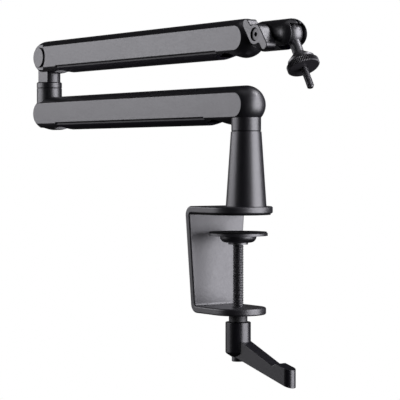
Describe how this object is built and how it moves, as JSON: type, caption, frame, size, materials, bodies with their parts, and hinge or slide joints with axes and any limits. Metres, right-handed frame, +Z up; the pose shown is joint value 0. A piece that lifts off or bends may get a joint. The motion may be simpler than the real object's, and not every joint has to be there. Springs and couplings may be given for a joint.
{
  "type": "microphone boom arm",
  "caption": "Low folding boom arm on a desk clamp, with a swivelling base, a tilting upper arm and a ball stud for a microphone.",
  "frame": {"origin": "on the riser's axis, at the underside of the upper jaw's pad, where the part rests on the desk", "axes": "+Z up along the riser; +X along the folded arms from the elbow to the head, the way the clamp opens; -Y is the side with the wing lever"},
  "size_m": [0.4748, 0.063, 0.3292],
  "materials": {
    "black_anodised": "satin black",
    "black_powder_coat": "satin black powder coat",
    "cover_plastic": "matte black",
    "black_oxide_steel": "black oxide",
    "bearing_plastic": "plain",
    "pad_rubber": "matte"
  },
  "bodies": {
    "clamp_base": {"clamp_bracket": "black_powder_coat", "jaw_pad": "pad_rubber", "threaded_bush": "black_oxide_steel", "riser_post": "black_anodised", "riser_screws": "black_oxide_steel", "base_bush": "bearing_plastic"},
    "pad_carrier": {"pressure_plate": "black_powder_coat", "pressure_rubber": "pad_rubber", "screw_retainer": "black_oxide_steel"},
    "screw_and_lever": {"clamp_screw": "black_oxide_steel", "clamp_lever": "black_anodised", "lever_screw": "black_oxide_steel"},
    "lower_boom": {"lower_arm": "black_anodised", "lower_cable_cover": "cover_plastic", "base_spindle": "black_oxide_steel", "base_washer": "black_oxide_steel", "base_screw": "black_oxide_steel", "elbow_bush": "bearing_plastic"},
    "elbow_swivel_post": {"elbow_post": "black_anodised", "elbow_spindle": "black_oxide_steel", "elbow_washer": "black_oxide_steel", "elbow_screw": "black_oxide_steel"},
    "upper_boom": {"upper_arm": "black_anodised", "upper_cable_cover": "cover_plastic", "elbow_pin": "black_anodised", "elbow_nut": "black_anodised", "friction_washers": "bearing_plastic", "head_bush": "bearing_plastic"},
    "mic_head": {"head_body": "black_anodised", "head_spindle": "black_oxide_steel", "head_nut": "black_oxide_steel", "head_washer": "black_oxide_steel", "head_screw": "black_oxide_steel"},
    "wing": {"wing_lever": "black_anodised", "wing_screw": "black_oxide_steel"},
    "stud": {"ball_stud": "black_oxide_steel"},
    "ring_nut": {"thumb_nut": "black_anodised"}
  },
  "joints": [
    {"name": "pad_slide", "type": "slide", "parent": "clamp_base", "child": "pad_carrier", "axis": [0, 0, 1], "range_m": [-0.055, 0]},
    {"name": "screw_turn", "type": "hinge", "parent": "pad_carrier", "child": "screw_and_lever", "pos_m": [-0.0123, 0, -0.06], "axis": [0, 0, 1], "range_deg": [-13195, 0]},
    {"name": "base_swivel", "type": "hinge", "parent": "clamp_base", "child": "lower_boom", "pos_m": [0, 0, 0.0755], "axis": [0, 0, 1], "continuous": true},
    {"name": "elbow_swivel", "type": "hinge", "parent": "lower_boom", "child": "elbow_swivel_post", "pos_m": [-0.36, 0, 0.1265], "axis": [0, 0, 1], "continuous": true},
    {"name": "arm_tilt", "type": "hinge", "parent": "elbow_swivel_post", "child": "upper_boom", "pos_m": [-0.36, 0, 0.1595], "axis": [0, -1, 0], "range_deg": [-3, 75]},
    {"name": "head_roll", "type": "hinge", "parent": "upper_boom", "child": "mic_head", "pos_m": [0.0253, 0, 0.1595], "axis": [1, 0, 0], "continuous": true},
    {"name": "wing_turn", "type": "hinge", "parent": "mic_head", "child": "wing", "pos_m": [0.0455, 0, 0.1595], "axis": [0, -1, 0], "continuous": true},
    {"name": "ball_swing", "type": "hinge", "parent": "mic_head", "child": "stud", "pos_m": [0.0671, 0, 0.1595], "axis": [0, 1, 0], "range_deg": [-75, 28]},
    {"name": "nut_turn", "type": "hinge", "parent": "stud", "child": "ring_nut", "pos_m": [0.0831, 0, 0.13179], "axis": [0.5, 0, -0.866], "continuous": true}
  ],
  "couplings": [
    {"joint": "pad_slide", "follows": "screw_turn", "m_per_rad": 0.00023873}
  ]
}
